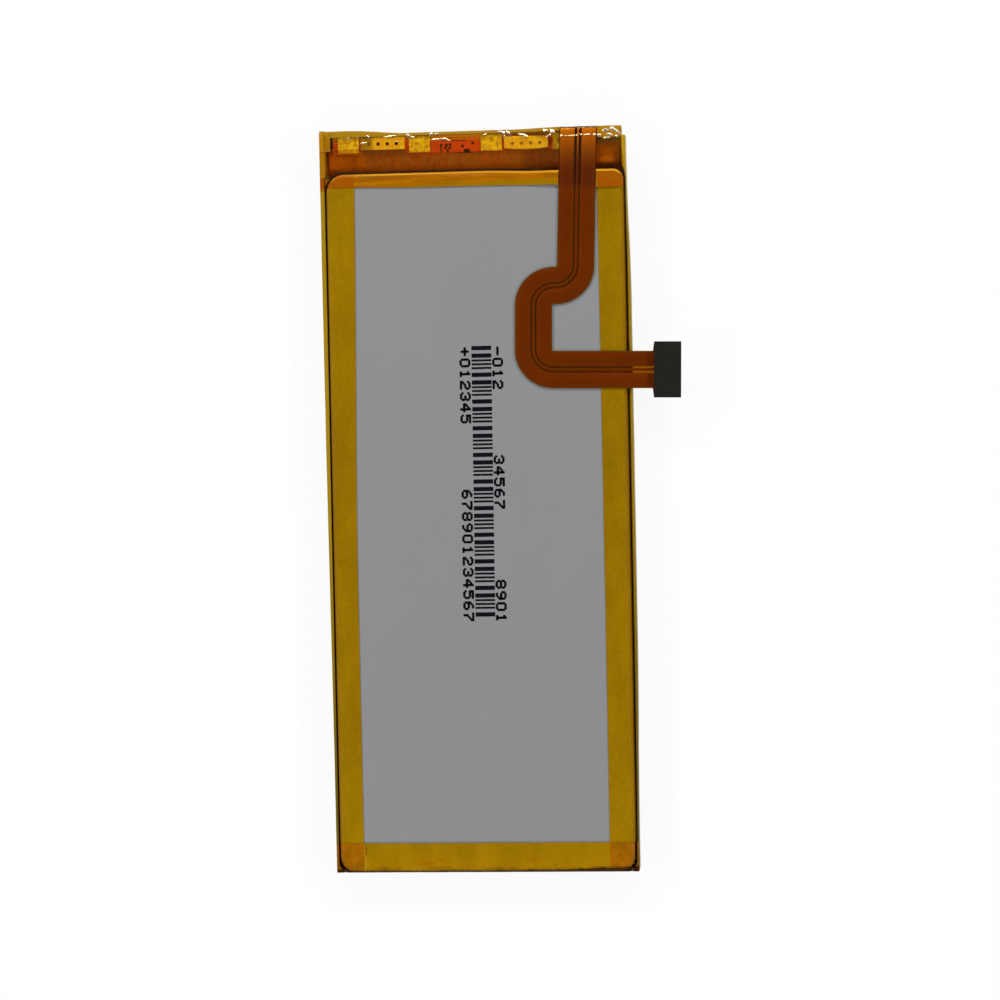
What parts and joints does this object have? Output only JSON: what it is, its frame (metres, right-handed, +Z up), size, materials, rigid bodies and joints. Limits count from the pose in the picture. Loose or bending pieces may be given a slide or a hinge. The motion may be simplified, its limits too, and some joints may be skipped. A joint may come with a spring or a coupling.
{
  "type": "mobile phone battery",
  "caption": "Thin rectangular pouch battery pack with amber tape round its edges, a protection board along its top and a folded flat flex circuit ending in a small connector.",
  "frame": {"origin": "on the surface it rests on, under the middle of its whole outline, connector and all", "axes": "+X across the pack, towards the side that the connector reaches past; +Y along it, towards the protection board; +Z up through its face"},
  "size_m": [0.0468, 0.0972, 0.0047],
  "materials": {
    "foil": "matt grey laminate",
    "amber_tape": "clear amber film",
    "board": "solder mask",
    "insulating_strip": "matt",
    "foam": "foam",
    "chip": "moulded",
    "ceramic": "ceramic",
    "tab_metal": "rolled",
    "sealing_film": "film",
    "nickel": "tinned",
    "flex": "flex circuit cover film",
    "steel": "rolled",
    "foam_pad": "fine foam",
    "housing": "moulded",
    "contact": "gold plated"
  },
  "bodies": {
    "root": {"pouch_cell": "foil", "tape_left": "amber_tape", "tape_right": "amber_tape", "tape_bottom": "amber_tape", "tape_top": "amber_tape", "protection_board": "board", "terrace_strip": "insulating_strip", "board_spacer_left": "foam", "board_spacer_middle": "foam", "board_spacer_right": "foam", "switch_chip_1": "chip", "switch_chip_2": "chip", "guard_chip_1": "chip", "guard_chip_2": "chip", "chip_resistor_1": "chip", "chip_resistor_2": "chip", "chip_capacitor_1": "ceramic", "chip_capacitor_2": "ceramic", "thermistor": "ceramic", "tab_positive": "tab_metal", "tab_negative": "tab_metal", "tab_film_positive": "sealing_film", "tab_film_negative": "sealing_film", "weld_plate_positive": "nickel", "weld_plate_negative": "nickel", "solder_pad_1": "nickel", "solder_pad_2": "nickel", "solder_pad_3": "nickel", "solder_pad_4": "nickel", "flex_circuit": "flex", "connector_stiffener": "steel", "connector_pad": "foam_pad", "connector_housing": "housing", "power_contact_1": "contact", "power_contact_2": "contact", "power_contact_3": "contact", "power_contact_4": "contact", "signal_contact_1": "contact", "signal_contact_2": "contact", "signal_contact_3": "contact", "signal_contact_4": "contact", "signal_contact_5": "contact", "signal_contact_6": "contact", "signal_contact_7": "contact", "signal_contact_8": "contact"}
  },
  "joints": []
}
